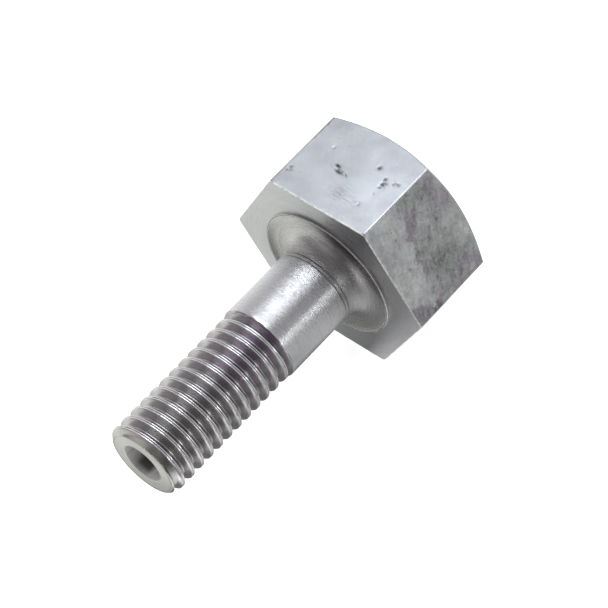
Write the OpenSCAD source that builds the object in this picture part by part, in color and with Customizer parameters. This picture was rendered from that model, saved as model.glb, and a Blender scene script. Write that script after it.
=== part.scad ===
// Hex bolt, M8 x 1.25, nominally 25 mm under the head, with an oversize 19 mm hexagon.
// The real bolt is turned from one bar: its regions meet face to face and nothing on it moves.
// The axis lies along Y, the point toward -Y and the head toward +Y, with one flat of the hexagon facing down.
// The origin is the centre of the bearing seat's rim, where the bolt meets the work.

/* [Head] */
// Width across the flats of the hexagon
head_af = 18.7; // [18.3:0.1:19]
// Height of the hexagon from its underside to its top face
head_h = 10; // [6:0.1:12]
// Diameter of the round top face, where the chamfer starts
head_top_d = 18; // [15:0.1:18.2]
// Angle of the top chamfer, from the top face
head_chamfer = 30; // [15:1:35]
// Size of the small broken edge at the corners of the underside
head_break = 0.2; // [0.1:0.05:0.4]

/* [Bearing seat] */
// Outside diameter of the raised seat under the head
seat_d = 14.1; // [14.1:0.1:16]
// Height the seat stands proud of the hexagon's underside
seat_h = 0.25; // [0.1:0.05:0.6]
// How far the seat and the root reach into the head
seat_root = 1; // [0.6:0.1:2]

/* [Root] */
// Radius of the hollow curve between the seat's rim and the shank
root_r = 1.86; // [1.8:0.02:1.9]
// Distance from the seat's rim to the centre of that curve, toward the point
root_offset = 1.55; // [1.5:0.05:1.6]
// Depth of the two fine turned grooves beside the curve
groove_depth = 0.03; // [0.01:0.01:0.06]
// Width of each fine groove
groove_w = 0.12; // [0.06:0.02:0.16]
// Distance between the middles of the two fine grooves
groove_gap = 0.4; // [0.3:0.05:0.5]

/* [Shank] */
// Diameter of the plain shank
shank_d = 8; // [7.9:0.05:8]
// Distance from the seat's rim to the end of the plain shank
shank_end = 9.2; // [8.8:0.1:9.2]

/* [Thread] */
// Distance from one crest to the next
pitch = 1.25; // [1.25:0.05:1.3]
// Diameter over the crests
crest_d = 7.78; // [7.7:0.02:7.8]
// Diameter at the bottom of the groove
minor_d = 6.47; // [6.4:0.01:6.6]
// Width of the flat at the bottom of the groove
root_flat = 0.2; // [0.15:0.01:0.25]
// Angle about the axis at which a crest meets the end face
thread_phase = 287; // [0:1:359]
// Distance from the seat's rim to where the blank has come down to the thread's diameter
step_at = 9.5; // [9.4:0.05:9.6]
// How much larger than the rest the first crest is, on its radius
first_crest = 0.01; // [0.01:0.01:0.03]
// Distance from the seat's rim to where the groove has run out
runout_at = 9.27; // [9.2:0.01:9.4]
// Angle of turn over which the groove runs out
runout_turn = 300; // [180:10:330]
// Length of the region where the thread runs out
runout_l = 1.6; // [1.4:0.1:2]
// Straight facets in one turn of the thread
facets = 48; // [36:12:60]

/* [Point] */
// Distance from the seat's rim to the flat end face
length = 24.9; // [24.6:0.1:25.4]
// Diameter of the flat end face
end_d = 6.92; // [6.8:0.02:7.2]
// Length of the end region that carries the chamfer
point_l = 0.6; // [0.5:0.05:0.8]
// Diameter of the blind bore in the end
bore_d = 4.1; // [3:0.1:4.2]
// Depth of the bore's straight wall
bore_depth = 12; // [8:0.5:14]
// Included angle at the bottom of the bore
bore_angle = 118; // [90:1:140]

/* [Hidden] */
$fn = 96;
// Half the hexagon's width across its corners
corner_r = head_af / sqrt(3);
// Radius of the round top face
head_top_r = head_top_d / 2;
// Radius of the raised seat
seat_r = seat_d / 2;
// Radius of the plain shank
shank_r = shank_d / 2;
// Radius over the crests
crest_r = crest_d / 2;
// Radius at the bottom of the groove
minor_r = minor_d / 2;
// Radius of the flat end face
end_r = end_d / 2;
// Radius of the bore
bore_r = bore_d / 2;
// Radius of the circle that the hollow curve's centre lies on
curve_r = shank_r + root_r;
// Radius at which the hollow curve comes up to the seat's rim
rim_r = curve_r + sqrt(root_r * root_r - root_offset * root_offset);
// Where the region of the fine grooves ends
root_end = root_offset + groove_gap + groove_w;
// Where the full thread starts
full_start = shank_end + runout_l;
// Where the end region starts
point_start = length - point_l;
// Radius just clear of the shank, where the groove has run out
clear_r = shank_r + 0.03;
// Radius of the uncut rod that the run-out is trimmed from
blank_r = shank_r + 0.15;
// Half the groove's flat
root_half = root_flat / 2;
// Slope of each flank, half the thread's angle
flank_angle = 30;
// Least depth of a groove in a rod, beyond the length that is kept
least_depth = 0.02;
// Extra length of cutters past the solids they trim
past = 1;
// Angle of one facet
facet_turn = 360 / facets;
// Points round the groove in one cross-section
ring_n = 4;

// Distance along the axis, from the seat's rim, at which the crest passes turn angle u
function crest_at(u) = length + pitch * (u - thread_phase) / 360;

// Turn angle at which the crest passes distance s, on a whole facet
function turn_at(s) = facet_turn * floor((thread_phase + 360 * (s - length) / pitch) / facet_turn);

// Turn angle at which the groove has run out, taken at the middle of the groove
runout_u = thread_phase + 360 * (runout_at - pitch / 2 - length) / pitch;

// Share of the full depth the groove has at turn angle u
function depth_share(u) = max(0, min(1, (u - runout_u) / runout_turn));

// Radius at the bottom of the groove at turn angle u, in a rod with crests at top_r
function floor_r(u, top_r) = min(top_r - least_depth, clear_r - depth_share(u) * (clear_r - minor_r));

// One point of the groove's cross-section at turn angle u, from the head's side to the point's side
function groove_point(u, j, top_r) =
    let (flank_w = (top_r - floor_r(u, top_r)) * tan(flank_angle))
    let (outer = j == 0 || j == ring_n - 1)
    let (side = j < ring_n / 2 ? -1 : 1)
    let (r = outer ? top_r : floor_r(u, top_r))
    let (along = side * (root_half + (outer ? flank_w : 0)))
    [r * cos(u), r * sin(u), crest_at(u) + pitch / 2 + along];

// A threaded rod that covers from s0 to s1 with ragged ends beyond them, its crests at top_r
module threaded_rod(s0, s1, top_r) {
    first = turn_at(s0 - 2 * pitch);
    last = turn_at(s1 + pitch);
    rows = round((last - first) / facet_turn);
    wall = [for (k = [0 : rows], j = [0 : ring_n - 1]) groove_point(first + k * facet_turn, j, top_r)];
    start_mid = [0, 0, crest_at(first) + pitch];
    end_mid = [0, 0, crest_at(last)];
    start_id = len(wall);
    end_id = start_id + 1;
    start_loop = concat(
        [for (k = [0 : facets]) k * ring_n],
        [for (j = [ring_n - 1 : -1 : 1]) j]
    );
    end_loop = concat(
        [for (k = [rows - facets : rows]) k * ring_n + ring_n - 1],
        [for (j = [ring_n - 2 : -1 : 0]) rows * ring_n + j]
    );
    polyhedron(
        points = concat(wall, [start_mid, end_mid]),
        faces = concat(
            [for (k = [0 : rows - 1], j = [0 : ring_n - 2])
                [k * ring_n + j, k * ring_n + j + 1, (k + 1) * ring_n + j + 1]],
            [for (k = [0 : rows - 1], j = [0 : ring_n - 2])
                [k * ring_n + j, (k + 1) * ring_n + j + 1, (k + 1) * ring_n + j]],
            [for (k = [0 : rows - facets - 1])
                [k * ring_n + ring_n - 1, (k + facets) * ring_n, (k + facets + 1) * ring_n]],
            [for (k = [0 : rows - facets - 1])
                [k * ring_n + ring_n - 1, (k + facets + 1) * ring_n, (k + 1) * ring_n + ring_n - 1]],
            [for (i = [0 : len(start_loop) - 1])
                [start_id, start_loop[i], start_loop[(i + 1) % len(start_loop)]]],
            [for (i = [0 : len(end_loop) - 1])
                [end_id, end_loop[(i + 1) % len(end_loop)], end_loop[i]]]
        ),
        convexity = 10
    );
}

// Turns a shape drawn along +Z so that it runs from the seat toward the point
module toward_point() {
    rotate([90, 0, 0])
        children();
}

// The blind bore in the end, with its drilled bottom
module end_bore() {
    translate([0, 0, length - bore_depth])
        cylinder(r = bore_r, h = bore_depth + past);
    translate([0, 0, length - bore_depth - bore_r / tan(bore_angle / 2)])
        cylinder(r1 = 0, r2 = bore_r, h = bore_r / tan(bore_angle / 2));
}

// Hexagonal head, chamfered at the top, with the recess its seat and root are part of
module hex_head() {
    color([0.62, 0.63, 0.66])
    rotate([-90, 0, 0])
    difference() {
        intersection() {
            translate([0, 0, seat_h])
                cylinder(r = corner_r, h = head_h, $fn = 6);
            rotate_extrude()
                polygon([
                    [0, seat_h],
                    [corner_r - head_break, seat_h],
                    [corner_r + past, seat_h + head_break + past],
                    [corner_r + past, seat_h + head_h - (corner_r + past - head_top_r) * tan(head_chamfer)],
                    [head_top_r, seat_h + head_h],
                    [0, seat_h + head_h]
                ]);
        }
        translate([0, 0, -past])
            cylinder(r = seat_r, h = past + seat_h + seat_root);
    }
}

// Raised ring that bears on the work, hollowed inside its narrow rim
module bearing_seat() {
    color([0.74, 0.74, 0.74])
    toward_point()
    difference() {
        translate([0, 0, -seat_h - seat_root])
            cylinder(r = seat_r, h = seat_h + seat_root);
        translate([0, 0, -seat_h - seat_root - past])
            cylinder(r = curve_r, h = seat_h + seat_root + 2 * past);
        translate([0, 0, root_offset])
            rotate_extrude()
                translate([curve_r, 0])
                    circle(r = root_r);
    }
}

// Curved root between the head and the shank, with two fine turned grooves
module root_fillet() {
    color([0.70, 0.70, 0.68])
    toward_point()
    difference() {
        union() {
            translate([0, 0, -seat_h - seat_root])
                cylinder(r = curve_r, h = seat_h + seat_root + root_offset);
            translate([0, 0, root_offset])
                cylinder(r = shank_r, h = root_end - root_offset);
        }
        translate([0, 0, root_offset])
            rotate_extrude()
                translate([curve_r, 0])
                    circle(r = root_r);
        for (at = [root_offset + groove_w / 2, root_offset + groove_w / 2 + groove_gap])
            translate([0, 0, at])
                rotate_extrude()
                    polygon([
                        [shank_r - groove_depth, 0],
                        [shank_r + groove_depth, -groove_w],
                        [shank_r + groove_depth, groove_w]
                    ]);
    }
}

// Plain cylindrical shank
module plain_shank() {
    color([0.72, 0.72, 0.74])
    toward_point()
    translate([0, 0, root_end])
        cylinder(r = shank_r, h = shank_end - root_end);
}

// Start of the thread, where the groove fades into the shank
module thread_runout() {
    color([0.60, 0.60, 0.63])
    toward_point()
    intersection() {
        threaded_rod(shank_end, full_start, blank_r);
        rotate_extrude()
            polygon([
                [0, shank_end],
                [shank_r, shank_end],
                [crest_r + first_crest, step_at],
                [crest_r, full_start],
                [0, full_start]
            ]);
    }
}

// Right-hand thread of full depth
module threaded_length() {
    color([0.52, 0.52, 0.55])
    toward_point()
    difference() {
        intersection() {
            threaded_rod(full_start, point_start, crest_r);
            translate([0, 0, full_start])
                cylinder(r = shank_r + past, h = point_start - full_start);
        }
        end_bore();
    }
}

// Chamfered end with the mouth of the bore, where the groove leaves through the end face
module point() {
    color([0.66, 0.66, 0.66])
    toward_point()
    difference() {
        intersection() {
            threaded_rod(point_start, length, crest_r);
            rotate_extrude()
                polygon([
                    [0, point_start],
                    [shank_r + past, point_start],
                    [shank_r + past, length - shank_r - past + end_r],
                    [end_r, length],
                    [0, length]
                ]);
        }
        end_bore();
    }
}

hex_head();
bearing_seat();
root_fillet();
plain_shank();
thread_runout();
threaded_length();
point();
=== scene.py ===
import math

import bmesh
import bpy
import numpy as np
from mathutils import Matrix, Vector


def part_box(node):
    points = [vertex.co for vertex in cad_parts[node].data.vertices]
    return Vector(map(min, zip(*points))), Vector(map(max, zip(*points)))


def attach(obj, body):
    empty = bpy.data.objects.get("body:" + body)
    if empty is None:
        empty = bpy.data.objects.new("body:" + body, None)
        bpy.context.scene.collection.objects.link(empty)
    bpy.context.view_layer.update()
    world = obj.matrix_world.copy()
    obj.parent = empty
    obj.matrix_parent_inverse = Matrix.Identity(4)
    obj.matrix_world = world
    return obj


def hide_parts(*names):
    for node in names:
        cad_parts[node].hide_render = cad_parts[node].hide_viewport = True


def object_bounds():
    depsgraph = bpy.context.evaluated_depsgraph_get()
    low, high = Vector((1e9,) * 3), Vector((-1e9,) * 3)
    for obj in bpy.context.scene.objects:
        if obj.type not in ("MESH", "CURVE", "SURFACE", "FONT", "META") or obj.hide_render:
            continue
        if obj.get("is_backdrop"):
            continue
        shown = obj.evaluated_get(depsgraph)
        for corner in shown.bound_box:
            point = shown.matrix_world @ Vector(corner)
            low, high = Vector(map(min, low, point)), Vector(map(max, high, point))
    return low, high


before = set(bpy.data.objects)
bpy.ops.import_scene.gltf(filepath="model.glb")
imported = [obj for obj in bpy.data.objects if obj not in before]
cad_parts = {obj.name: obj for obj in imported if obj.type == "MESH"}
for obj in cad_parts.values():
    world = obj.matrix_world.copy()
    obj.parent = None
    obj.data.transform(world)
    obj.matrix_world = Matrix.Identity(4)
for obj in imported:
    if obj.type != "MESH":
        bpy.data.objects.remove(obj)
CAD_LO, CAD_HI = (list(v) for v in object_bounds())

# ------------------------------------------------------------------ sizes, in mm
# s is the distance from the seat's rim toward the point, along -Y.
# t is the angle about the axis, in degrees from +X toward +Z.


def node_size(name, axis):
    """How long the box of a CAD node is along an axis."""
    lo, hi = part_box(name)
    return (hi[axis] - lo[axis]) * 1000


TAN30 = math.tan(math.radians(30))
SIN30 = math.sin(math.radians(30))
COS30 = math.cos(math.radians(30))

# The hexagon: from the axis to a flat, half of one side, and from the axis to a corner. Then its underside and its top
# in Y, and the flat circle that its chamfer leaves.
APOTHEM = node_size("hex_head", 2) / 2
HALF_SIDE = APOTHEM * TAN30
CORNER_R = APOTHEM / COS30
HEAD_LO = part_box("hex_head")[0][1] * 1000
HEAD_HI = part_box("hex_head")[1][1] * 1000
TOP_R = 9.0

# The seat, and the hollow curve of radius ROOT_R that comes down from its rim to the shank. Behind the curve are two
# turned grooves.
SEAT_R = node_size("bearing_seat", 0) / 2
SEAT_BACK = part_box("bearing_seat")[1][1] * 1000
SHANK_R = node_size("plain_shank", 0) / 2
ROOT_R = 1.86
ROOT_AT = 1.55
CURVE_R = SHANK_R + ROOT_R
RIM_R = CURVE_R + math.sqrt(ROOT_R**2 - ROOT_AT**2)
GROOVES_AT = (ROOT_AT + 0.06, ROOT_AT + 0.46)
GROOVE_DEEP = 0.045
GROOVE_HALF = 0.07

# Where the regions end.
ROOT_END = -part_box("root_fillet")[0][1] * 1000
SHANK_END = -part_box("plain_shank")[0][1] * 1000
FULL_START = -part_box("thread_runout")[0][1] * 1000
POINT_START = -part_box("threaded_length")[0][1] * 1000
LENGTH = -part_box("point")[0][1] * 1000

# The thread: its pitch, crest and root, half the width of the groove's floor, the angle at which a crest reaches the
# end, the depth and half-width of the seam along each crest, and how far crest, flanks, root and end are rounded.
PITCH = 1.25
CREST_R = 3.89
MINOR_R = 3.235
ROOT_HALF = 0.09
PHASE = 287.0
SEAM = 0.035
SEAM_HALF = 0.036
CREST_ROUND = 0.05
FLANK_ROUND = 0.06
ROOT_ROUND = 0.08
END_ROUND = 0.06

# The run-out: where the blank begins to step down to the crests and how long the step is, where the groove begins, and
# in how many degrees of turning its floor and its far flank reach full depth.
STEP_AT = 9.42
STEP_LONG = 0.12
RUNOUT_AT = 9.27
RUNOUT_TURN = 300.0
FAR_TURN = 60.0

# The point: the edge of the end face, the plain cone beside it in the last groove, and the bore with its drilled tip.
END_R = 3.46
CONE_R = 3.27
CONE_SLOPE = 0.90
BORE_R = 2.05
BORE_DEPTH = 12.0
BORE_START = LENGTH - BORE_DEPTH
BORE_TIP = BORE_R / math.tan(math.radians(59))

# How many steps a full turn of a mesh has.
TURN = 288
ANGLES = np.arange(TURN) * 360.0 / TURN


# ------------------------------------------------------------------ shape functions


def soft_min(a, b, k):
    """The smaller of a and b, with the corner between them rounded over k."""
    h = np.clip(0.5 + 0.5 * (b - a) / k, 0, 1)
    return b * (1 - h) + a * h - k * h * (1 - h)


def soft_max(a, b, k):
    """The larger of a and b, with the corner between them rounded over k."""
    return -soft_min(-a, -b, k)


def wander(x, scale, seed):
    """Smooth noise along x, about -1 to 1, that repeats every 360."""
    rng = np.random.default_rng(seed)
    out = np.zeros_like(x, dtype=float)
    for i in range(6):
        n = max(1, int(round(scale * (1.6**i))))
        out += np.sin(np.radians(x) * n + rng.uniform(0, 2 * math.pi)) / (1.35**i)
    return out / 2.6


def ragged(x, y, seed):
    """Smooth noise over a plane, about -1 to 1."""
    rng = np.random.default_rng(seed)
    out = np.zeros_like(x)
    for i in range(5):
        k = 1.1 * 1.7**i
        ax, ay, ph = rng.uniform(-k, k), rng.uniform(-k, k), rng.uniform(0, 6.28)
        out += np.sin(ax * x + ay * y + ph) / (1.25**i)
    return out / 2.2


def edge_step(d, soft):
    """0 where d is below zero and 1 where it is above, blurred over soft."""
    return 0.5 + 0.5 * np.tanh(d / soft)


def hump(d, wide):
    """1 where d is zero, falling to 0 on both sides within about twice wide."""
    return np.exp(-((d / wide) ** 2))


def groove_at(t, s):
    """Where a point lies in the thread.

    Returns the signed distance from the middle of the nearest groove, that groove's number, and how many degrees it
    has turned since the run-out began.
    """
    t = np.mod(t, 360.0)
    base = LENGTH + PITCH * (t - PHASE) / 360.0 + PITCH / 2
    m = np.round((s - base) / PITCH)
    start = PHASE + 360.0 * (RUNOUT_AT - PITCH / 2 - LENGTH) / PITCH
    return s - base - PITCH * m, m, t + 360.0 * m - start


def last_groove(d, s):
    """1 in the groove that leaves through the end face, 0 in the others. d is the distance from its middle."""
    return np.clip((s - d - LENGTH + 0.55) / 0.25, 0, 1)


def thread_radius(t, s):
    """The outside radius of the run-out, thread and point at angle t and distance s."""
    d, m, into = groove_at(t, s)
    share = np.clip(into / RUNOUT_TURN, 0, 1)
    deep = np.clip(into / FAR_TURN, 0, 1)
    # The groove's two flanks and its floor. In the run-out its near side is shallow for longer.
    top = SHANK_R + 0.05
    slope = 1 / TAN30
    near_side = top - share * (top - MINOR_R) + (-d - ROOT_HALF) * slope
    far_side = top - deep * (top - MINOR_R) + (d - ROOT_HALF) * slope
    floor = top - np.maximum(share, deep * 0.93) * (top - MINOR_R)
    groove = soft_max(soft_max(near_side, far_side, FLANK_ROUND), floor, ROOT_ROUND)
    # The plain cone on the far flank beside the end face.
    cone = last_groove(d, s) * np.clip((d + 0.60) / 0.12, 0, 1)
    groove = groove + cone * np.clip(CONE_R + (LENGTH - s) * CONE_SLOPE - groove, 0, None)
    # The blank steps down to the crests, which are worn a little and have a seam along them.
    step = np.clip((s - STEP_AT) / STEP_LONG, 0, 1)
    land = SHANK_R - (SHANK_R - CREST_R) * step * step * (3 - 2 * step)
    seam = (PITCH / 2 - np.abs(d)) / SEAM_HALF
    worn = 0.012 * (wander(t + 137.5 * m, 9, 3) - 1)
    land = land + (worn - SEAM * np.exp(-seam * seam)) * step * share
    chamfer = END_R + (LENGTH - s)
    return soft_min(soft_min(groove, land, CREST_ROUND), chamfer, END_ROUND)


def vertices_mm(ob):
    """Where the vertices are, in mm."""
    co = np.empty(len(ob.data.vertices) * 3)
    ob.data.vertices.foreach_get("co", co)
    return co.reshape(-1, 3) * 1000


def points_of(ob):
    """Angle, distance and radius of each vertex."""
    co = vertices_mm(ob)
    return np.degrees(np.arctan2(co[:, 2], co[:, 0])), -co[:, 1], np.hypot(co[:, 0], co[:, 2])


def write_values(ob, name, values):
    """Stores a number at each vertex, which a material reads by its name."""
    ob.data.attributes.new(name, "FLOAT", "POINT").data.foreach_set("value", values)


def thread_wear_dirt_and_painted_light(ob):
    """Lightens crest lips and the end's edge (wear and painted highlight); darkens grooves (dirt and painted shade)."""
    t, s, r = points_of(ob)
    d, m, into = groove_at(t, s)
    crest = PITCH / 2 - np.abs(d)
    # Crest lips and the end's edge are lightened: partly wear and partly a painted highlight.
    lip = hump(crest - 0.083, 0.030) * edge_step(r - CREST_R + 0.10, 0.02)
    lip *= np.clip((s - STEP_AT - 0.2) / 0.1, 0, 1) * np.clip(into / 100, 0, 1)
    lip *= np.clip(0.80 + 0.30 * ragged(t * 0.45, s * 3, 5), 0.25, 1)
    rim = hump(r - END_R, 0.05) * edge_step(s - LENGTH + 0.05, 0.02)
    rim *= np.clip(0.35 + 0.6 * ragged(t * 0.5, s, 6), 0, 1)
    write_values(ob, "worn", np.clip(np.maximum(lip, rim), 0, 1))
    # The grooves and the crest seams are darkened: partly dirt and partly painted shade.
    grime_and_shade = np.maximum(np.clip((3.87 - r) / 0.14, 0, 1), 0.9 * hump(crest, 0.04) * (into > 60))
    first_turn = (into > 15) & (into < 350) & (d < 0.4)
    grime_and_shade = np.where(first_turn, np.clip((3.975 - r) / 0.05, 0, 1), grime_and_shade)
    grime_and_shade *= 1 - last_groove(d, s) * np.clip((s - LENGTH + 0.72) / 0.08, 0, 1)
    write_values(ob, "grime_and_shade", grime_and_shade)


def hex_radius(t):
    """Radius of the hexagon at angle t, its corners slightly rounded."""
    from_flat = np.mod(t, 60.0) - 30.0
    this_flat = np.cos(np.radians(from_flat))
    next_flat = np.cos(np.radians(np.abs(from_flat) - 60.0))
    k = 0.013
    h = np.clip(0.5 + 0.5 * (this_flat - next_flat) / k, 0, 1)
    return APOTHEM / (next_flat * (1 - h) + this_flat * h + k * h * (1 - h))


# ------------------------------------------------------------------ mesh building

MERGE = 4e-7
SHARP = math.radians(38.0)


def place(t, r, s):
    """Points at angle t, radius r and distance s. Each may be one number or an array."""
    t, r, s = np.broadcast_arrays(t, r, s)
    a = np.radians(t)
    return np.stack([r * np.cos(a), -s, r * np.sin(a)], axis=-1) * 0.001


def ring(r, s):
    """A closed ring round the axis."""
    return place(ANGLES, r, s)


class Shell:
    """Collects rings, strips and poles, and makes one mesh of them.

    A mark is the number of the material in the piece's list.
    """

    def __init__(self):
        self.points = []
        self.faces = []
        self.marks = []
        self.count = 0

    def add(self, pts):
        """Adds points and returns the number of the first."""
        pts = np.asarray(pts).reshape(-1, 3)
        start = self.count
        self.points.append(pts)
        self.count += len(pts)
        return start

    def add_faces(self, faces, mark):
        self.faces.extend(faces)
        self.marks.extend([mark] * len(faces))

    def lathe(self, rings, marks=0):
        """Joins closed rings, in order. marks is one mark, or a list with one for each strip between two rings."""
        starts = [self.add(r) for r in rings]
        i = np.arange(len(rings[0]))
        j = (i + 1) % len(i)
        if not isinstance(marks, list):
            marks = [marks] * (len(rings) - 1)
        for a, b, mark in zip(starts, starts[1:], marks):
            self.add_faces(np.stack([a + i, a + j, b + j, b + i], axis=1).tolist(), mark)

    def pole(self, rim, s, mark=0):
        """Closes a ring with triangles that meet on the axis at s."""
        a = self.add(rim)
        tip = self.add([[0, -s * 0.001, 0]])
        n = len(rim)
        self.add_faces([[a + k, a + (k + 1) % n, tip] for k in range(n)], mark)

    def sheet(self, grid, mark=0):
        """Joins a grid of points, rows by columns."""
        rows, cols = grid.shape[:2]
        a = self.add(grid)
        i, j = np.meshgrid(np.arange(rows - 1), np.arange(cols - 1), indexing="ij")
        k = a + i * cols + j
        quads = np.stack([k, k + 1, k + cols + 1, k + cols], axis=-1).reshape(-1, 4)
        self.add_faces(quads.tolist(), mark)

    def build(self, name):
        """Makes the object. Points closer than MERGE join, and edges that bend more than SHARP stay sharp."""
        me = bpy.data.meshes.new(name)
        me.from_pydata(np.concatenate(self.points).tolist(), [], self.faces)
        me.polygons.foreach_set("material_index", self.marks)
        bm = bmesh.new()
        bm.from_mesh(me)
        bmesh.ops.remove_doubles(bm, verts=bm.verts, dist=MERGE)
        bmesh.ops.dissolve_degenerate(bm, edges=bm.edges, dist=MERGE)
        bmesh.ops.recalc_face_normals(bm, faces=bm.faces)
        for f in bm.faces:
            f.smooth = True
        for e in bm.edges:
            e.smooth = len(e.link_faces) == 2 and e.calc_face_angle(0.0) < SHARP
        bm.to_mesh(me)
        bm.free()
        ob = bpy.data.objects.new(name, me)
        bpy.context.scene.collection.objects.link(ob)
        return ob


def curve_points(a, b, c, n):
    """n points of a rounded corner from a to c around b, without its ends. A point is a pair of radius and distance."""
    f = np.linspace(0, 1, n + 2)[1:-1]
    return [[(1 - x) ** 2 * p + 2 * x * (1 - x) * q + x * x * r for p, q, r in zip(a, b, c)] for x in f]


# ------------------------------------------------------------------ hexagonal head


def hex_head_piece():
    """The hexagon: a flat underside with worn edges, six flats, and the chamfer round its top."""
    per_side = 96
    across = (np.arange(per_side) / per_side * 2 - 1) * TAN30
    sides = [30.0 + 60.0 * k + np.degrees(np.arctan(across)) for k in range(6)]
    corners = [np.linspace(-1.0, 1.0, 13)[1:-1] + 60.0 * k for k in range(6)]
    t = np.unique(np.round(np.mod(np.concatenate(sides + corners), 360.0), 5))
    R = hex_radius(t)
    under = -HEAD_LO
    top = -HEAD_HI
    rings = []
    marks = []

    def put(r, s, mark):
        rings.append(place(t, r, s))
        marks.append(mark)

    # The underside, out to its worn edge, which is broken further at the corners.
    wear = 0.085 + 0.025 * wander(t, 23, 11)
    break_wide, break_deep = 0.22, 0.12
    corner_break = np.clip((R - (CORNER_R - break_wide)) / break_wide, 0, 1) * break_deep
    put(SEAT_R, under, 1)
    for x in np.linspace(0, 1, 26)[1:]:
        put(SEAT_R + (R - wear - SEAT_R) * x, under, 1)
    side_start = under - wear - corner_break
    for r, s in curve_points((R - wear, under), (R - corner_break, under), (R, side_start), 5):
        put(r, s, 0)

    # The flats, and the rounded edge where they meet the chamfer.
    side_end = top + (R - TOP_R) * TAN30
    edge = 0.09
    for x in np.linspace(0, 1, 92):
        put(R, side_start + (side_end + edge - side_start) * x, 0)
    slope_r, slope_s = R - edge * COS30, side_end - edge * SIN30
    for r, s in curve_points((R, side_end + edge), (R, side_end), (slope_r, slope_s), 5):
        put(r, s, 1)

    # The chamfer, the rounded edge inside it, and the flat top.
    in_r, in_s = TOP_R + 0.08, top + 0.08 * TAN30
    flat_r = TOP_R - 0.09
    for x in np.linspace(0, 1, 9):
        put(slope_r + (in_r - slope_r) * x, slope_s + (in_s - slope_s) * x, 1)
    for r, s in curve_points((in_r, in_s), (TOP_R, top), (flat_r, top), 4):
        put(r, s, 1)
    for r in np.linspace(flat_r, 0.15, 26):
        put(r, top, 1)

    shell = Shell()
    shell.lathe(rings, marks[1:])
    shell.pole(rings[-1], top, 1)
    back = place(t, SEAT_R, -SEAT_BACK)
    shell.lathe([rings[0], back], 1)
    shell.pole(back, -SEAT_BACK, 1)
    ob = shell.build("head")
    marks_on_flats(ob)
    return ob


# Small pits in the flats: the flat's number, anticlockwise from the one that faces +X and up; the pit's middle, across
# and along the flat from the flat's own middle, and its half-width across and along, all in mm; its slant; and how dark
# it is, 0 to 1.
PITS = [
    (1, 1.45, -0.20, 0.22, 0.14, 0.2, 1.0),
    (1, 0.95, -0.72, 0.42, 0.09, 0.1, 0.95),
    (1, 0.20, -0.62, 0.18, 0.05, 0.5, 0.7),
    (1, -1.78, 1.67, 0.13, 0.13, 0.0, 0.9),
    (1, -3.00, 0.95, 0.07, 0.16, 0.6, 0.8),
    (1, -3.20, 0.45, 0.09, 0.15, 0.4, 0.8),
    (1, -4.10, 1.15, 0.24, 0.04, 0.2, 0.7),
    (1, 4.95, -3.10, 0.12, 0.07, 0.0, 0.5),
    (0, -0.40, -2.80, 0.10, 0.14, 0.3, 0.6),
    (0, 1.30, 2.10, 0.16, 0.10, 0.3, 0.6),
    (2, 0.8, -1.2, 0.35, 0.12, 0.4, 0.9),
    (2, 0.3, -0.7, 0.12, 0.20, 0.1, 0.7),
    (3, -2.1, 2.2, 0.16, 0.30, 0.5, 0.8),
    (4, 2.1, -1.0, 0.24, 0.12, 0.2, 0.9),
    (4, 1.5, -0.6, 0.10, 0.26, 0.3, 0.7),
    (5, 1.9, 0.4, 0.30, 0.12, 0.4, 0.9),
    (5, -2.6, -2.4, 0.14, 0.14, 0.0, 0.7),
]
# Groups of tiny pits: flat, middle across and along, spread across and along, and how many.
PECKED = [
    (1, 0.85, -0.55, 0.35, 0.14, 7),
    (1, -3.20, 0.55, 0.22, 0.50, 13),
    (1, -4.05, 1.05, 0.25, 0.12, 4),
    (1, 4.7, -2.9, 0.25, 0.30, 4),
    (1, -0.6, -2.2, 1.5, 0.9, 3),
    (0, -1.2, -1.4, 2.0, 0.9, 8),
    (0, 3.6, -2.8, 0.9, 0.9, 5),
    (0, 0.8, 1.6, 2.2, 1.6, 5),
    (2, 0.5, -1.0, 1.2, 0.8, 14),
    (3, -1.6, 1.6, 1.4, 1.0, 14),
    (4, 1.8, -0.8, 0.9, 0.9, 12),
    (5, 0.9, 0.8, 1.6, 0.9, 14),
]
# Small dents whose sides catch the light: flat, across, along, and size.
DENTS = [
    (1, 3.07, 1.2, 0.09),
    (1, -2.78, -2.55, 0.09),
    (0, -4.45, -0.1, 0.10),
    (0, -0.9, -0.9, 0.08),
    (4, 0.6, 2.4, 0.09),
]


def on_flat(co, flat):
    """Across and along the flat, how far inside its plane each vertex is, and the flat's normal."""
    a = math.radians(30 + 60 * flat)
    normal = np.array([math.cos(a), 0, math.sin(a)])
    across = co @ np.array([-math.sin(a), 0, math.cos(a)])
    return across, co[:, 1] - (HEAD_LO + HEAD_HI) / 2, APOTHEM - co @ normal, normal


def blot(x, y, x0, y0, wide, long):
    """1 at x0, y0, falling to 0 around it."""
    return np.exp(-(((x - x0) / wide) ** 2) - ((y - y0) / long) ** 2)


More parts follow.
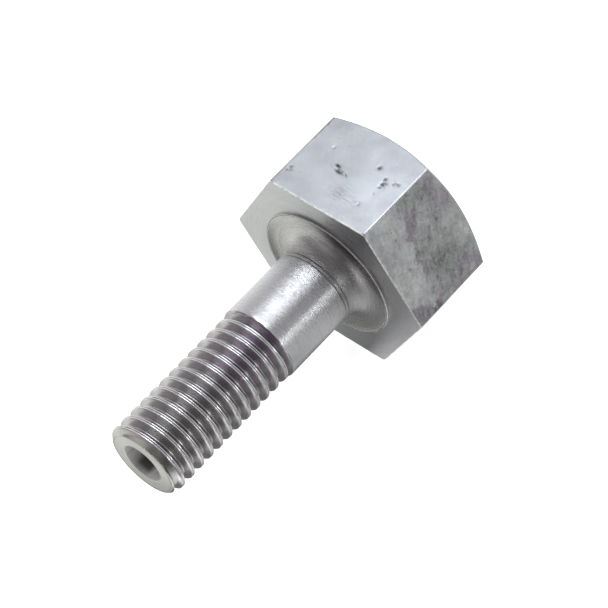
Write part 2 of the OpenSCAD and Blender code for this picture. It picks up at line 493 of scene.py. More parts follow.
def flat_tone(flat, x, y):
    """How bright the skin of a flat is, 0 to 1. Flat 1 is evenly bright; the others are scaled, with ragged borders."""
    rag = ragged(x * 1.6, y * 1.6, 40 + flat)
    if flat == 1:
        tone = 0.80 + 0.10 * blot(x, y, -3.0, 0.3, 2.2, 2.6)
        tone += 0.05 * ragged(x, y, 9) - 0.05 * edge_step(y - 2.6, 1.2) - 0.07 * edge_step(-3.6 - y, 0.8)
        return tone - 0.5 * edge_step(x - 5.22 + 0.04 * (5 - y), 0.06) * edge_step(y - 0.5, 1.5)
    # The skin is brighter on the underside's side of a slanting border, with a pale rim and bright flecks along it.
    slope = 0.19 if flat in (0, 3) else -0.25
    border = -1.75 + slope * x + 0.35 * rag - flat * 0.35 + 0.10 * ragged(x * 6, y * 6, 60 + flat)
    beyond = edge_step(border - y, 0.13)
    flecks = np.clip(ragged(x * 8, y * 8, 50 + flat), 0, 1)
    tone = 0.34 + 0.20 * beyond + 0.08 * hump(border - 0.45 - y, 0.4) * edge_step(x + 3.5, 0.8)
    tone += 0.9 * flecks * hump(border + 0.05 - y, 0.20)
    # Two dark patches, a paler top edge and one dark corner.
    tone += 0.08 * rag - 0.20 * blot(x, y, -2.3, 0.9, 1.3, 1.6)
    tone -= 0.10 * blot(x, y, 4.2, 1.6, 0.9, 1.6)
    tone += 0.14 * edge_step(y - 3.0, 0.8)
    corner = -(x + 3.34 + 0.5 * (y + 4.78)) + 0.15 * ragged(x * 3, y * 3, 61)
    tone -= 0.28 * edge_step(corner, 0.10) * edge_step(-1.8 - y, 0.2)
    return tone + (0.12 if flat in (2, 4) else 0.0)


def pecked_pits():
    """The tiny pits of PECKED, drawn at random and written like those of PITS."""
    rng = np.random.default_rng(31)
    pits = []
    for flat, x0, y0, wx, wy, count in PECKED:
        for _ in range(count):
            middle = (x0 + rng.normal(0, wx), y0 + rng.normal(0, wy))
            size = (rng.uniform(0.04, 0.13), rng.uniform(0.03, 0.06))
            slant = rng.uniform(-0.3, 0.9)
            dark = rng.uniform(0.4, 0.9)
            pits.append((flat, *middle, *size, slant, dark))
    return pits


def worn_and_highlit_edges(co):
    """How much the edges of the hexagon are lightened, along its underside and its corners: partly wear and partly a
    painted highlight, strongest along flat 1.
    """
    worn = np.zeros(len(co))
    up = co[:, 1] - HEAD_LO
    for flat in range(6):
        x, y, inside, normal = on_flat(co, flat)
        keen = 1.7 if flat == 1 else 1.0
        worn = np.maximum(worn, keen * hump(inside - up, 0.075) * (inside + up < 0.2) * (inside > -0.01))
        corner = np.abs(x) - (HALF_SIDE - 0.045)
        worn = np.maximum(worn, 0.45 * edge_step(corner, 0.01) * (inside < 0.05))
    beads = np.clip(0.75 + 0.5 * ragged(co[:, 0] * 7, co[:, 1] * 5 + co[:, 2] * 7, 21), 0.30, 1)
    return np.clip(worn * beads, 0, 1)


def marks_on_flats(ob):
    """Sinks the pits and the dents, and stores what the flats' material reads.

    skin holds the place on a flat, turned so that its second axis runs along the scratches, and ten times the flat's
    number.
    """
    me = ob.data
    co = vertices_mm(ob)
    moved = co.copy()
    pit = np.zeros(len(co))
    tone = np.full(len(co), 0.6)
    skin = np.zeros((len(co), 3))
    pits = PITS + pecked_pits()
    for flat in range(6):
        x, y, inside, normal = on_flat(co, flat)
        near = (inside < 0.3) & (np.abs(x) < HALF_SIDE + 0.02)
        lean = 1.0 if flat == 1 else 0.6
        flow = math.sqrt(1 - lean * lean)
        number = np.full(len(co), 10.0 * flat)
        skin[near] = np.stack([flow * x + lean * y, flow * y - lean * x, number], 1)[near]
        tone = np.where(near, np.clip(flat_tone(flat, x, y), 0, 1), tone)
        rag = 1 + 0.55 * ragged(x * 11, y * 11, 70 + flat)
        for n, x0, y0, wx, wy, slant, dark in pits:
            if n == flat:
                u = (x - x0) + slant * (y - y0)
                v = (y - y0) - slant * (x - x0)
                fall = np.exp(-(((u / wx) ** 2 + (v / wy) ** 2) * rag / 1.7) ** 1.1) * near
                pit = np.maximum(pit, fall * dark)
                moved -= np.outer(fall * 0.03 * dark, normal)
        for n, x0, y0, wide in DENTS:
            if n == flat:
                fall = np.exp(-(((x - x0) ** 2 + (y - y0) ** 2) / wide**2)) * near
                moved -= np.outer(fall * 0.035, normal)
    worn = worn_and_highlit_edges(co)
    me.vertices.foreach_set("co", (moved * 0.001).ravel())
    for name, values in (("pit", pit), ("tone", tone), ("worn", worn)):
        write_values(ob, name, values)
    me.attributes.new("skin", "FLOAT_VECTOR", "POINT").data.foreach_set("vector", skin.ravel())
    me.update()


# ------------------------------------------------------------------ turned regions


def bearing_seat_piece():
    """The raised ring, out to its flat rim and back down the hollow curve inside it."""
    rings = [ring(SEAT_R, -SEAT_BACK), ring(SEAT_R, -HEAD_LO), ring(SEAT_R, -HEAD_LO + 0.1)]
    edge = 0.035
    for a in np.radians(np.linspace(0, 90, 6)):
        rings.append(ring(SEAT_R - edge + edge * math.cos(a), -edge + edge * math.sin(a)))
    for r in (SEAT_R - 0.06, SEAT_R - 0.085, RIM_R + 0.06, RIM_R + 0.03, RIM_R + 0.012):
        rings.append(ring(r, 0.0))
    rim_angle = math.acos(ROOT_AT / ROOT_R)
    for a in np.linspace(rim_angle - 0.012, 0, 22):
        rings.append(ring(CURVE_R + ROOT_R * math.sin(a), ROOT_AT - ROOT_R * math.cos(a)))
    rings.append(ring(CURVE_R, -SEAT_BACK))
    rings.append(rings[0])
    shell = Shell()
    shell.lathe(rings)
    ob = shell.build("seat")
    # Both edges of the rim are lightened, partly as wear and partly as a painted highlight, more on the right.
    t, s, r = points_of(ob)
    worn = hump(r - SEAT_R + 0.012, 0.032) + hump(r - RIM_R, 0.032)
    worn *= edge_step(0.05 - np.abs(s), 0.02)
    worn *= 0.45 + 0.45 * np.clip(np.cos(np.radians(t + 10)), -0.6, 1)
    worn *= np.clip(0.8 + 0.3 * ragged(t * 0.3, s, 8), 0, 1)
    write_values(ob, "worn", np.clip(worn, 0, 1))
    return ob


def turned_piece(name, rings, s0, s1):
    """Joins the rings and closes both ends flat."""
    shell = Shell()
    shell.pole(rings[0], s0)
    shell.lathe(rings)
    shell.pole(rings[-1], s1)
    return shell.build(name)


def root_piece():
    """The hollow curve down to the shank, and the two turned grooves behind it."""
    rings = [ring(CURVE_R, -SEAT_BACK)]
    for a in np.linspace(0, math.pi / 2, 44):
        rings.append(ring(CURVE_R - ROOT_R * math.sin(a), ROOT_AT - ROOT_R * math.cos(a)))
    for s in np.linspace(ROOT_AT, ROOT_END, 60)[1:]:
        dip = max(GROOVE_DEEP * max(0.0, 1 - abs(s - at) / GROOVE_HALF) for at in GROOVES_AT)
        rings.append(ring(SHANK_R - dip, s))
    return turned_piece("root", rings, -SEAT_BACK, ROOT_END)


def shank_piece():
    """The plain cylinder."""
    rings = [ring(SHANK_R, s) for s in np.linspace(ROOT_END, SHANK_END, 40)]
    return turned_piece("shank", rings, ROOT_END, SHANK_END)


def thread_profile(fine):
    """Where the rows of one pitch lie, from crest to crest, closer together at the edges of crest and groove."""
    crest = 0.09
    flank_end = PITCH / 2 - ROOT_HALF
    edge = np.linspace(0, 1, 5)
    half = np.concatenate(
        [
            np.linspace(0, crest - 0.05, 5)[:-1],
            crest - 0.05 + 0.10 * edge,
            np.linspace(crest + 0.05, flank_end - 0.05, int(6 * fine) + 2)[1:-1],
            flank_end - 0.05 + 0.08 * edge,
            np.linspace(flank_end + 0.03, PITCH / 2, 3)[1:],
        ]
    )
    return np.concatenate([half, PITCH - half[::-1][1:]])


def add_bored_end(shell, start, end_r, s0, s1, open_end):
    """Closes a length that the bore reaches: the face round the bore, its wall, and its drilled tip if that is here."""
    lip = 0.05 if open_end else 0.0
    inner = BORE_R + lip
    face = [ring(end_r + (inner - end_r) * x, s1) for x in np.linspace(0, 1, 10)]
    if open_end:
        for a in np.radians([30, 60, 90]):
            face.append(ring(inner - lip * math.sin(a), s1 - lip + lip * math.cos(a)))
    shell.lathe(face, 1)
    wall_start = max(s0, BORE_START)
    wall = [face[-1]] + [ring(BORE_R, s) for s in np.linspace(s1 - lip, wall_start, 12)[1:]]
    shell.lathe(wall, 2)
    if BORE_START > s0:
        shell.pole(wall[-1], BORE_START - BORE_TIP, 2)
        shell.pole(start, s0, 1)
    else:
        shell.lathe([wall[-1], start], 1)


def threaded_piece(name, s0, s1, bored=False, open_end=False, fine=1.0):
    """A length of the thread from s0 to s1. The rows of its outside follow the helix, cut off at both ends."""
    profile = thread_profile(fine)
    step = 360.0 / TURN
    first = math.floor((PHASE + 360.0 * (s0 - 2 * PITCH - LENGTH) / PITCH) / step)
    last = math.ceil((PHASE + 360.0 * (s1 + PITCH - LENGTH) / PITCH) / step)
    k = np.arange(first, last + 1)
    s = LENGTH + PITCH * (k[:, None] * step - PHASE) / 360.0 + profile[None, :]
    s = np.clip(s, s0, s1)
    t = np.broadcast_to(np.mod(k, TURN)[:, None] * step, s.shape)
    shell = Shell()
    shell.sheet(place(t, thread_radius(t, s), s))
    start = ring(thread_radius(ANGLES, s0), s0)
    end_r = thread_radius(ANGLES, s1)
    if bored:
        add_bored_end(shell, start, end_r, s0, s1, open_end)
    else:
        shell.pole(start, s0, 1)
        shell.pole(ring(end_r, s1), s1, 1)
    ob = shell.build(name)
    thread_wear_dirt_and_painted_light(ob)
    return ob


# ------------------------------------------------------------------ materials


class Nodes:
    """A short way to write a node tree."""

    def __init__(self, tree, coordinates):
        self.tree = tree
        tree.nodes.clear()
        self.co = self.node("ShaderNodeTexCoord").outputs[coordinates]

    def link(self, a, b):
        self.tree.links.new(a, b)

    def node(self, kind, **props):
        n = self.tree.nodes.new(kind)
        for k, v in props.items():
            setattr(n, k, v)
        return n

    def feed(self, socket, value):
        """Gives a socket a number, a colour or another socket's value."""
        if isinstance(value, (int, float)):
            socket.default_value = value
        elif isinstance(value, tuple):
            socket.default_value = (*value, 1)
        else:
            self.link(value, socket)

    def math(self, op, a, b=None, clamp=False):
        n = self.node("ShaderNodeMath", operation=op, use_clamp=clamp)
        self.feed(n.inputs[0], a)
        if b is not None:
            self.feed(n.inputs[1], b)
        return n.outputs[0]

    def add(self, a, b):
        return self.math("ADD", a, b)

    def sub(self, a, b):
        return self.math("SUBTRACT", a, b)

    def mul(self, a, b):
        return self.math("MULTIPLY", a, b)

    def gap(self, a, b):
        """How far apart a and b are."""
        return self.math("ABSOLUTE", self.sub(a, b))

    def stored(self, name, output="Fac"):
        """What the mesh stores at its vertices under that name."""
        return self.node("ShaderNodeAttribute", attribute_name=name).outputs[output]

    def vector(self, x, y, z):
        n = self.node("ShaderNodeCombineXYZ")
        for socket, v in zip(n.inputs, (x, y, z)):
            self.feed(socket, v)
        return n.outputs[0]

    def scaled(self, vec, xyz):
        n = self.node("ShaderNodeVectorMath", operation="MULTIPLY")
        self.link(vec, n.inputs[0])
        n.inputs[1].default_value = xyz
        return n.outputs[0]

    def parts(self, vec):
        n = self.node("ShaderNodeSeparateXYZ")
        self.link(vec, n.inputs[0])
        return n.outputs

    def noise(self, vec, scale, detail=4.0, rough=0.55, distort=0.0):
        n = self.node("ShaderNodeTexNoise")
        self.link(vec, n.inputs["Vector"])
        n.inputs["Scale"].default_value = scale
        n.inputs["Detail"].default_value = detail
        n.inputs["Roughness"].default_value = rough
        n.inputs["Distortion"].default_value = distort
        return n.outputs["Fac"]

    def ramp(self, fac, lo, hi, a=0.0, b=1.0, smooth=True):
        """a where fac is lo, b where it is hi, and clamped beyond them. lo may be the larger."""
        n = self.node("ShaderNodeMapRange", clamp=True)
        if smooth:
            n.interpolation_type = "SMOOTHSTEP"
        self.link(fac, n.inputs["Value"])
        for name, v in (("From Min", lo), ("From Max", hi), ("To Min", a), ("To Max", b)):
            n.inputs[name].default_value = v
        return n.outputs["Result"]

    def mix(self, fac, a, b):
        """a where fac is 0 and b where it is 1. They are colours."""
        n = self.node("ShaderNodeMix", data_type="RGBA")
        self.link(fac, n.inputs["Factor"])
        self.feed(n.inputs[6], a)
        self.feed(n.inputs[7], b)
        return n.outputs[2]


class Material(Nodes):
    """A material of one principled shader."""

    def __init__(self, name):
        self.mat = bpy.data.materials.new(name)
        self.mat.use_nodes = True
        super().__init__(self.mat.node_tree, "Object")
        self.bsdf = self.node("ShaderNodeBsdfPrincipled")
        self.link(self.bsdf.outputs[0], self.node("ShaderNodeOutputMaterial").inputs["Surface"])

    def set(self, inputs):
        """Feeds inputs of the shader, by name."""
        for name, value in inputs.items():
            self.feed(self.bsdf.inputs[name], value)

    def bump(self, height, distance, strength=1.0, normal=None):
        n = self.node("ShaderNodeBump")
        self.link(height, n.inputs["Height"])
        n.inputs["Distance"].default_value = distance
        n.inputs["Strength"].default_value = strength
        if normal is not None:
            self.link(normal, n.inputs["Normal"])
        return n.outputs["Normal"]

    def mm(self):
        """Position in mm."""
        return self.scaled(self.co, (1000, 1000, 1000))

    def polar(self):
        """(radius, distance along the axis, angle), in mm and degrees."""
        x, y, z = self.parts(self.mm())
        r = self.math("SQRT", self.add(self.mul(x, x), self.mul(z, z)))
        return r, self.mul(y, -1.0), self.math("DEGREES", self.math("ARCTAN2", z, x))

    def around(self, turn):
        """A vector that changes quickly along the radius and the axis, and turn times as far round the axis."""
        x, y, z = self.parts(self.mm())
        r, s, angle = self.polar()
        inv = self.math("DIVIDE", turn, self.math("MAXIMUM", r, 0.05))
        return self.vector(self.mul(x, inv), self.add(r, self.mul(s, 1.13)), self.mul(z, inv))


def darker(color, share):
    """The colour with that share of its brightness."""
    return tuple(c * share for c in color)


def turned_steel(
    name,
    rough,
    color=(0.62, 0.62, 0.63),
    aniso=0.6,
    line=1.0,
    turn=0.35,
    rub_and_highlight=0.0,
    grooves=False,
    cuts=(),
    rim_line=None,
    hollow=False,
    ringed=False,
):
    """Bare steel with the fine rings that a lathe leaves.

    line is how deep the rings are, and turn how quickly they change round the axis. rub_and_highlight is how much less
    metallic the worn edges are, 0 for none; their lighter colour is partly wear and partly a painted highlight.
    grooves darkens the thread's grooves, partly as dirt and partly as painted shade that is heaviest on the upper
    right, and paints shade on the cone beside the end face, lighter on its left and darker on its right. cuts are the
    distances of turned grooves, drawn as dark lines of painted shade, paler on the upper right. rim_line is the radius
    of a dark line on the seat's rim. hollow adds painted shade: a dark band inside that rim, on the upper right.
    ringed adds a brown outer ring on the end face.
    """
    m = Material(name)
    r, s, angle = m.polar()
    x, y, z = m.parts(m.mm())
    lines = m.noise(m.around(turn), 9.0, 6.0, 0.72)
    fine = m.noise(m.around(turn * 2.3), 34.0, 3.0, 0.6)
    cloud = m.noise(m.mm(), 0.55, 4.0, 0.6)
    speck = m.noise(m.mm(), 7.5, 3.0, 0.6)
    base = m.mix(m.ramp(cloud, 0.3, 0.7), darker(color, 0.93), color)
    base = m.mix(m.ramp(lines, 0.35, 0.65, 0.0, 0.25), base, darker(color, 0.72))
    base = m.mix(m.mul(m.ramp(speck, 0.60, 0.72), 0.35), base, darker(color, 0.6))
    shine = m.ramp(lines, 0.3, 0.7, rough * 0.82, rough * 1.25)
    shine = m.add(shine, m.ramp(cloud, 0.35, 0.7, 0.0, 0.05))
    if grooves:
        # The thread's grooves are darkened, partly as dirt and partly as painted shade: darkest round the upper right.
        late = m.ramp(m.add(s, m.mul(cloud, 6.0)), 14.0, 24.0)
        grime_and_shade = m.mix(late, (0.30, 0.26, 0.31), (0.33, 0.325, 0.31))
        grime_and_shade = m.mix(m.ramp(m.gap(angle, 62.0), 10.0, 45.0, 0.0, 0.8), grime_and_shade, (0.52, 0.50, 0.50))
        grime_and_shade = m.mix(m.ramp(speck, 0.3, 0.7, 0.0, 0.5), grime_and_shade, (0.43, 0.41, 0.42))
        # Painted shade on the cone beside the end face: lighter on its left, darker on its right.
        cone = m.mix(m.ramp(x, -0.5, -2.5), (0.78, 0.745, 0.715), (0.47, 0.46, 0.445))
        cone = m.mix(m.ramp(x, 2.1, 3.0), cone, (0.34, 0.33, 0.325))
        base = m.mix(m.ramp(s, LENGTH - 0.66, LENGTH - 0.55), base, cone)
        base = m.mix(m.stored("grime_and_shade"), base, grime_and_shade)
    # Painted shade: each turned groove is drawn as a dark line, paler on the upper right.
    for at in cuts:
        keen = m.mul(m.ramp(m.gap(s, at), 0.08, 0.02), m.ramp(m.gap(angle, 52.0), 8.0, 32.0, 0.2, 0.85))
        base = m.mix(keen, base, (0.16, 0.15, 0.16))
    if rim_line is not None:
        on_rim = m.ramp(m.math("ABSOLUTE", s), 0.05, 0.02)
        keen = m.mul(m.ramp(m.gap(r, rim_line), 0.055, 0.02, 0.0, 0.85), on_rim)
        base = m.mix(keen, base, (0.10, 0.09, 0.10))
    if hollow:
        # Painted shade: a dark band inside the rim, on the upper right.
        upper_right = m.add(m.mul(x, 0.616), m.mul(z, 0.788))
        band = m.mul(m.ramp(r, 4.9, 5.7), m.ramp(r, RIM_R - 0.01, RIM_R - 0.07))
        band = m.mul(band, m.ramp(upper_right, 3.7, 5.3, 0.0, 0.72))
        base = m.mix(band, base, (0.17, 0.145, 0.155))
    if ringed:
        wavy = m.add(r, m.mul(cloud, 0.1))
        base = m.mix(m.ramp(wavy, 3.18, 3.26, 0.0, 0.55), base, (0.42, 0.385, 0.36))
    m.set({"Metallic": 1.0})
    if rub_and_highlight:
        # Worn edges are lighter and less metallic: partly wear and partly a painted highlight.
        worn = m.stored("worn")
        base = m.mix(worn, base, (0.93, 0.93, 0.92))
        shine = m.sub(shine, m.mul(worn, rough * 0.35))
        m.set({"Metallic": m.sub(1.0, m.mul(worn, rub_and_highlight))})
    normal = m.bump(lines, 0.00002 * line, 0.6)
    normal = m.bump(fine, 0.000008 * line, 0.5, normal)
    normal = m.bump(speck, 0.00001 * line, 0.7, normal)
    round_axis = m.node("ShaderNodeTangent", direction_type="RADIAL", axis="Y").outputs[0]
    m.set({"Base Color": base, "Roughness": shine, "Normal": normal})
    m.set({"Anisotropic": aniso, "Anisotropic Rotation": 0.25, "Tangent": round_axis})
    return m.mat


def flat_steel(name):
    """The drawn flats of the hexagon: patchy scale, faintly streaked, scratched and pitted."""
    m = Material(name)
    pit = m.stored("pit")
    tone = m.stored("tone")
    worn = m.stored("worn")
    skin = m.stored("skin", "Vector")
    cloud = m.noise(m.mm(), 0.40, 3.0, 0.5)
    mottle = m.noise(m.mm(), 1.3, 5.0, 0.62, 0.4)
    grain = m.noise(m.mm(), 7.0, 4.0, 0.65)
    fleck = m.noise(m.mm(), 3.6, 4.0, 0.7, 0.6)
    streak = m.noise(m.scaled(skin, (0.7, 1.9, 1.0)), 1.0, 6.0, 0.66, 0.5)
    scratch = m.ramp(m.noise(m.scaled(skin, (5.0, 0.35, 1.0)), 2.0, 1.0, 0.5, 0.2), 0.68, 0.74)
    # How bright the skin is: the stored tone, varied most where it is dark, which calm stands for.
    calm = m.ramp(tone, 0.62, 0.76, 1.0, 0.10)
    patchy = m.sub(m.add(m.mul(mottle, 0.6), m.mul(streak, 0.6)), 0.60)
    smooth = m.mul(m.sub(cloud, 0.53), 0.55)
    level = m.add(tone, m.add(m.mul(patchy, calm), smooth))
    fleck = m.mul(m.sub(fleck, 0.5), m.mul(calm, 0.75))
    level = m.add(level, m.add(fleck, m.mul(m.sub(grain, 0.5), 0.12)))
    # A group of drag marks in one place on flat 1, where the third part of skin is 10.
    x, y, z = m.parts(skin)
    spot = m.add(m.gap(x, -2.5), m.mul(m.gap(y, 1.0), 0.6))
    spot = m.mul(m.ramp(spot, 1.7, 0.7), m.ramp(m.gap(z, 10.0), 1.0, 0.9))
    drag = m.ramp(m.noise(m.scaled(skin, (6.0, 0.45, 1.0)), 2.0, 2.0, 0.5), 0.42, 0.60, -0.23, 0.12)
    level = m.add(level, m.mul(drag, spot))
    light = m.mix(calm, (0.475, 0.503, 0.533), (0.69, 0.705, 0.70))
    dark = m.mix(m.ramp(cloud, 0.42, 0.58), (0.175, 0.15, 0.175), (0.155, 0.165, 0.155))
    base = m.mix(m.ramp(level, 0.0, 1.0, smooth=False), dark, light)
    base = m.mix(m.mul(scratch, m.add(m.mul(calm, 0.20), 0.16)), base, (0.75, 0.75, 0.75))
    base = m.mix(m.math("MULTIPLY", pit, 0.97, clamp=True), base, (0.035, 0.035, 0.04))
    # Worn edges are lighter and less metallic: partly wear and partly a painted highlight.
    base = m.mix(worn, base, (0.94, 0.94, 0.94))
    rough = m.add(m.ramp(mottle, 0.25, 0.75, 0.26, 0.36), m.ramp(grain, 0.35, 0.7, 0.0, 0.05))
    normal = m.bump(cloud, 0.00007, 0.25)
    normal = m.bump(mottle, 0.00001, 0.3, normal)
    normal = m.bump(grain, 0.000006, 0.4, normal)
    m.set({"Base Color": base, "Metallic": m.sub(1.0, m.mul(worn, 0.8)), "Normal": normal})
    m.set({"Roughness": m.add(rough, m.mul(pit, 0.3))})
    return m.mat


def bore_steel(name):
    """The drilled bore: rough and streaked along its length, with painted shade along its lower side and deep inside.
    """
    m = Material(name)
    r, s, angle = m.polar()
    x, y, z = m.parts(m.mm())
    streak = m.noise(m.vector(x, m.mul(y, 0.12), z), 5.0, 4.0, 0.7)
    # Painted shade: darker along the bore's lower side and deep inside.
    shaded_bottom = m.mul(m.ramp(angle, -150.0, -122.0), m.ramp(angle, -80.0, -100.0))
    shaded_bottom = m.mul(shaded_bottom, m.ramp(s, LENGTH - 0.1, LENGTH - 0.8, 0.35, 1.0))
    deep = m.ramp(s, LENGTH - 2.4, LENGTH - 4.0)
    base = m.mix(m.ramp(streak, 0.35, 0.65, 0.0, 0.5), (0.70, 0.695, 0.68), (0.42, 0.41, 0.40))
    base = m.mix(m.math("MAXIMUM", shaded_bottom, deep), base, (0.10, 0.085, 0.09))
    m.set({"Base Color": base, "Metallic": 0.15, "Roughness": 0.42, "Normal": m.bump(streak, 0.00006, 0.6)})
    return m.mat


def floor_material():
    """The pale floor as the eye sees it."""
    m = Material("pale_floor")
    m.set({"Base Color": (0.93, 0.93, 0.935), "Roughness": 0.9, "Specular IOR Level": 0.0})
    m.set({"Emission Color": (1, 1, 1), "Emission Strength": 0.80})
    return m.mat


# How bright the card's glow is from left to right, with the bolt's painted shadow: X in mm, and the level there.
CARD_LEVELS = [
    (-12, 1.0),
    (-8, 0.95),
    (-5.4, 0.66),
    (-3, 0.45),
    (-0.7, 0.28),
    (3.2, 0.20),
    (4.4, 0.46),
    (5.2, 0.57),
    (8.0, 0.62),
    (24, 0.60),
]


def card_material():
    """A glowing card, the floor in the steel's reflections: painted shadow under and by the bolt, dark far in front."""
    m = Material("floor_card")
    x, y, z = m.parts(m.mm())
    # A painted shadow under the bolt. Its left side reaches further out toward the point.
    drift = m.sub(m.mul(m.math("MINIMUM", m.mul(y, -1.0), 9.0), 0.85), 1.2)
    drift = m.mul(drift, m.ramp(x, 0.0, -3.0, smooth=False))
    left = CARD_LEVELS[0][0]
    wide = CARD_LEVELS[-1][0] - left
    shadow = m.node("ShaderNodeValToRGB")
    m.link(m.math("DIVIDE", m.add(m.add(x, drift), -left), wide), shadow.inputs["Fac"])
    stops = shadow.color_ramp.elements
    while len(stops) < len(CARD_LEVELS):
        stops.new(0.5)
    for stop, (at, v) in zip(stops, CARD_LEVELS):
        stop.position = (at - left) / wide
        stop.color = (v, v, v, 1)
    # The painted shadow ends beyond the point, and both sides are brighter there.
    level = m.mix(m.ramp(y, -27.0, -30.0), shadow.outputs["Color"], (1.08, 1.08, 1.08))
    level = m.add(level, m.mul(m.mul(m.ramp(x, -13.0, -22.0), m.ramp(y, -20.0, -28.0)), 0.42))
    level = m.add(level, m.mul(m.mul(m.ramp(x, 3.0, 7.0), m.ramp(y, -18.0, -26.0)), 0.95))
    # Painted shade: darker to the right of the shank and thread, brighter under the head, and darker far in front.
    away = m.add(m.ramp(x, 9.0, 16.0, 0.0, 0.6), m.ramp(x, 20.0, 50.0, 0.0, 0.32))
    level = m.mul(level, m.sub(1.0, m.mul(away, m.ramp(y, -2.0, -9.0))))
    level = m.mul(level, m.ramp(y, -4.0, -0.5, 0.84, 1.12))
    level = m.mul(level, m.ramp(y, -65.0, -28.0, 0.52, 1.0))
    level = m.mul(level, m.ramp(y, -115.0, -65.0, 0.3, 1.0))
    tint = m.mix(m.ramp(x, 4.0, -8.0), (0.98, 0.985, 0.99), (0.975, 1.0, 0.965))
    m.set({"Base Color": (0, 0, 0), "Specular IOR Level": 0.0})
    m.set({"Emission Color": tint, "Emission Strength": m.mul(level, 1.08)})
    return m.mat


head_sides = flat_steel("steel_flats")
turned = turned_steel("steel_turned", 0.29)
shank_mat = turned_steel("steel_shank", 0.23, line=2.1, turn=0.15)
seat_mat = turned_steel(
    "steel_seat", 0.22, (0.60, 0.585, 0.58), line=2.2, rub_and_highlight=0.8, rim_line=(SEAT_R + RIM_R) / 2, hollow=True
)
root_mat = turned_steel("steel_root", 0.25, (0.60, 0.585, 0.585), line=4.0, turn=0.10, cuts=GROOVES_AT, hollow=True)
thread_mat = turned_steel("steel_thread", 0.25, aniso=0.2, line=0.5, rub_and_highlight=0.55, grooves=True)
faced = turned_steel("steel_faced", 0.34, (0.77, 0.765, 0.74), aniso=0.5, line=1.6, ringed=True)
bored = bore_steel("steel_bore")


def finish_piece(ob, node, mats):
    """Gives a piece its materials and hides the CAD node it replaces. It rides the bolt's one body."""
    for m in mats:
        ob.data.materials.append(m)
    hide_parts(node)
    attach(ob, "root")


finish_piece(hex_head_piece(), "hex_head", [head_sides, turned])
finish_piece(bearing_seat_piece(), "bearing_seat", [seat_mat])
finish_piece(root_piece(), "root_fillet", [root_mat])
finish_piece(shank_piece(), "plain_shank", [shank_mat])
runout = threaded_piece("runout", SHANK_END, FULL_START)
finish_piece(runout, "thread_runout", [thread_mat, faced])
thread = threaded_piece("thread", FULL_START, POINT_START, bored=True)
finish_piece(thread, "threaded_length", [thread_mat, faced, bored])
point_end = threaded_piece("point_end", POINT_START, LENGTH, bored=True, open_end=True, fine=2.0)
finish_piece(point_end, "point", [thread_mat, faced, bored])


# ------------------------------------------------------------------ floor, light and camera, in metres

FLOOR_SIZE = 4.0
FLOOR_Z = CAD_LO[2]
CARD_LIFT = 0.00001
BOLT_MIDDLE = Vector((0, -0.006, 0))


def stage_plane(name, z, mat):
    """A large level plane, which isn't part of the bolt."""
    bm = bmesh.new()
    bmesh.ops.create_grid(bm, x_segments=1, y_segments=1, size=FLOOR_SIZE / 2)
    me = bpy.data.meshes.new(name)
    bm.to_mesh(me)
    bm.free()
    ob = bpy.data.objects.new(name, me)
    ob.location = (0, 0, z)
    me.materials.append(mat)
    bpy.context.scene.collection.objects.link(ob)
    ob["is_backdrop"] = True
    return ob


# The camera sees the floor, and the steel reflects the card.
floor = stage_plane("floor", FLOOR_Z, floor_material())
floor.visible_glossy = False
card = stage_plane("floor_card", FLOOR_Z + CARD_LIFT, card_material())
card.visible_camera = False
card.visible_diffuse = False
card.visible_shadow = False


def axes_at(right, up, back, at):
    """The matrix of an object with those axes, at that place."""
    rows = [(right[i], up[i], back[i], at[i]) for i in range(3)]
    return Matrix((*rows, (0, 0, 0, 1)))


def area(name, toward, distance, width, height, radiance, color=(1, 1, 1)):
    """A soft light in that direction from the bolt's middle, facing it, its height along the bolt."""
    light = bpy.data.lights.new(name, "AREA")
    light.shape = "RECTANGLE"
    light.size = width
    light.size_y = height
    light.energy = radiance * math.pi * width * height
    light.color = color
    ob = bpy.data.objects.new(name, light)
    away = Vector(toward).normalized()
    side = Vector((0, 1, 0)).cross(away).normalized()
    ob.matrix_world = axes_at(side, away.cross(side), away, BOLT_MIDDLE + away * distance)
    bpy.context.scene.collection.objects.link(ob)
    return ob


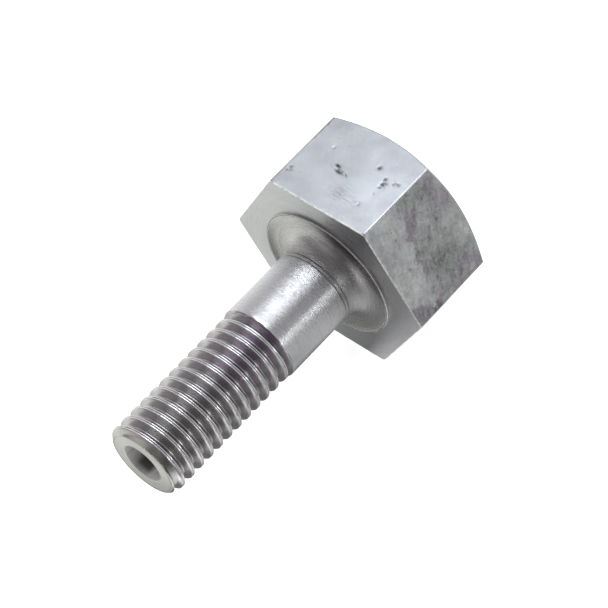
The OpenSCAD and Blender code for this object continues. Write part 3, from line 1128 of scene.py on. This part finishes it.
# The softbox and the strip are seen only as reflections in the steel. The fill lights the floor and isn't reflected.
softbox = area(
    "top_softbox",
    toward=(-0.11, 0.39, 0.91),
    distance=0.5,
    width=0.345,
    height=0.145,
    radiance=4.1,
    color=(0.94, 0.985, 1.03),
)
strip = area(
    "right_strip",
    toward=(0.863, 0.20, 0.314),
    distance=0.5,
    width=0.060,
    height=0.22,
    radiance=4.5,
    color=(0.96, 1.0, 0.99),
)
fill = area("floor_fill", toward=(-0.25, -0.1, 0.96), distance=0.9, width=0.9, height=0.9, radiance=2.3)
softbox.visible_diffuse = False
strip.visible_diffuse = False
fill.visible_glossy = False


def light_room(world):
    """The room round the bolt, by direction: x to the right, y toward the head, z up."""
    w = Nodes(world.node_tree, "Generated")
    x, y, z = w.parts(w.co)
    # Darker toward the point, but bright just above the horizon on the left of it.
    front = w.mul(w.ramp(y, -0.95, -0.70, 0.3, 1.0), w.ramp(y, -0.40, 0.20, 0.34, 1.0))
    low = w.mul(w.ramp(y, -0.55, -0.85, 0.0, 0.95), w.ramp(z, 0.05, 0.30))
    front = w.add(front, w.mul(low, w.ramp(x, -0.30, 0.05, 1.0, 0.15)))
    # Nearly black high up, a little way toward the point.
    black = w.mul(w.ramp(y, -0.20, -0.30, 0.0, 0.9), w.ramp(y, -0.60, -0.50))
    black = w.mul(black, w.ramp(z, 0.45, 0.60))
    front = w.mul(front, w.ramp(black, 0.0, 1.0, 1.0, 0.0))
    # Brighter on the left.
    left = w.ramp(x, -0.45, -0.95, 0.0, 0.38)
    sky = w.node("ShaderNodeBackground")
    w.feed(sky.inputs["Color"], (0.985, 0.96, 1.0))
    w.link(w.mul(w.add(left, 0.50), front), sky.inputs["Strength"])
    w.link(sky.outputs[0], w.node("ShaderNodeOutputWorld").inputs["Surface"])


studio = bpy.data.worlds.new("studio")
bpy.context.scene.world = studio
studio.use_nodes = True
light_room(studio)

CAMERA_AT = (0.10543, -0.09398, 0.18195)
cam_data = bpy.data.cameras.new("camera")
cam_data.sensor_width = 36.0
cam_data.lens = 151.44
cam_data.clip_start = 0.01
cam_data.clip_end = 20.0
cam = bpy.data.objects.new("camera", cam_data)
bpy.context.scene.collection.objects.link(cam)
right = Vector((0.7593, 0.6394, -0.1207)).normalized()
back = Vector((0.4590, -0.3949, 0.7958)).normalized()
up = back.cross(right).normalized()
right = up.cross(back).normalized()
cam.matrix_world = axes_at(right, up, back, CAMERA_AT)
bpy.context.scene.camera = cam
bpy.context.scene.view_settings.view_transform = "Standard"
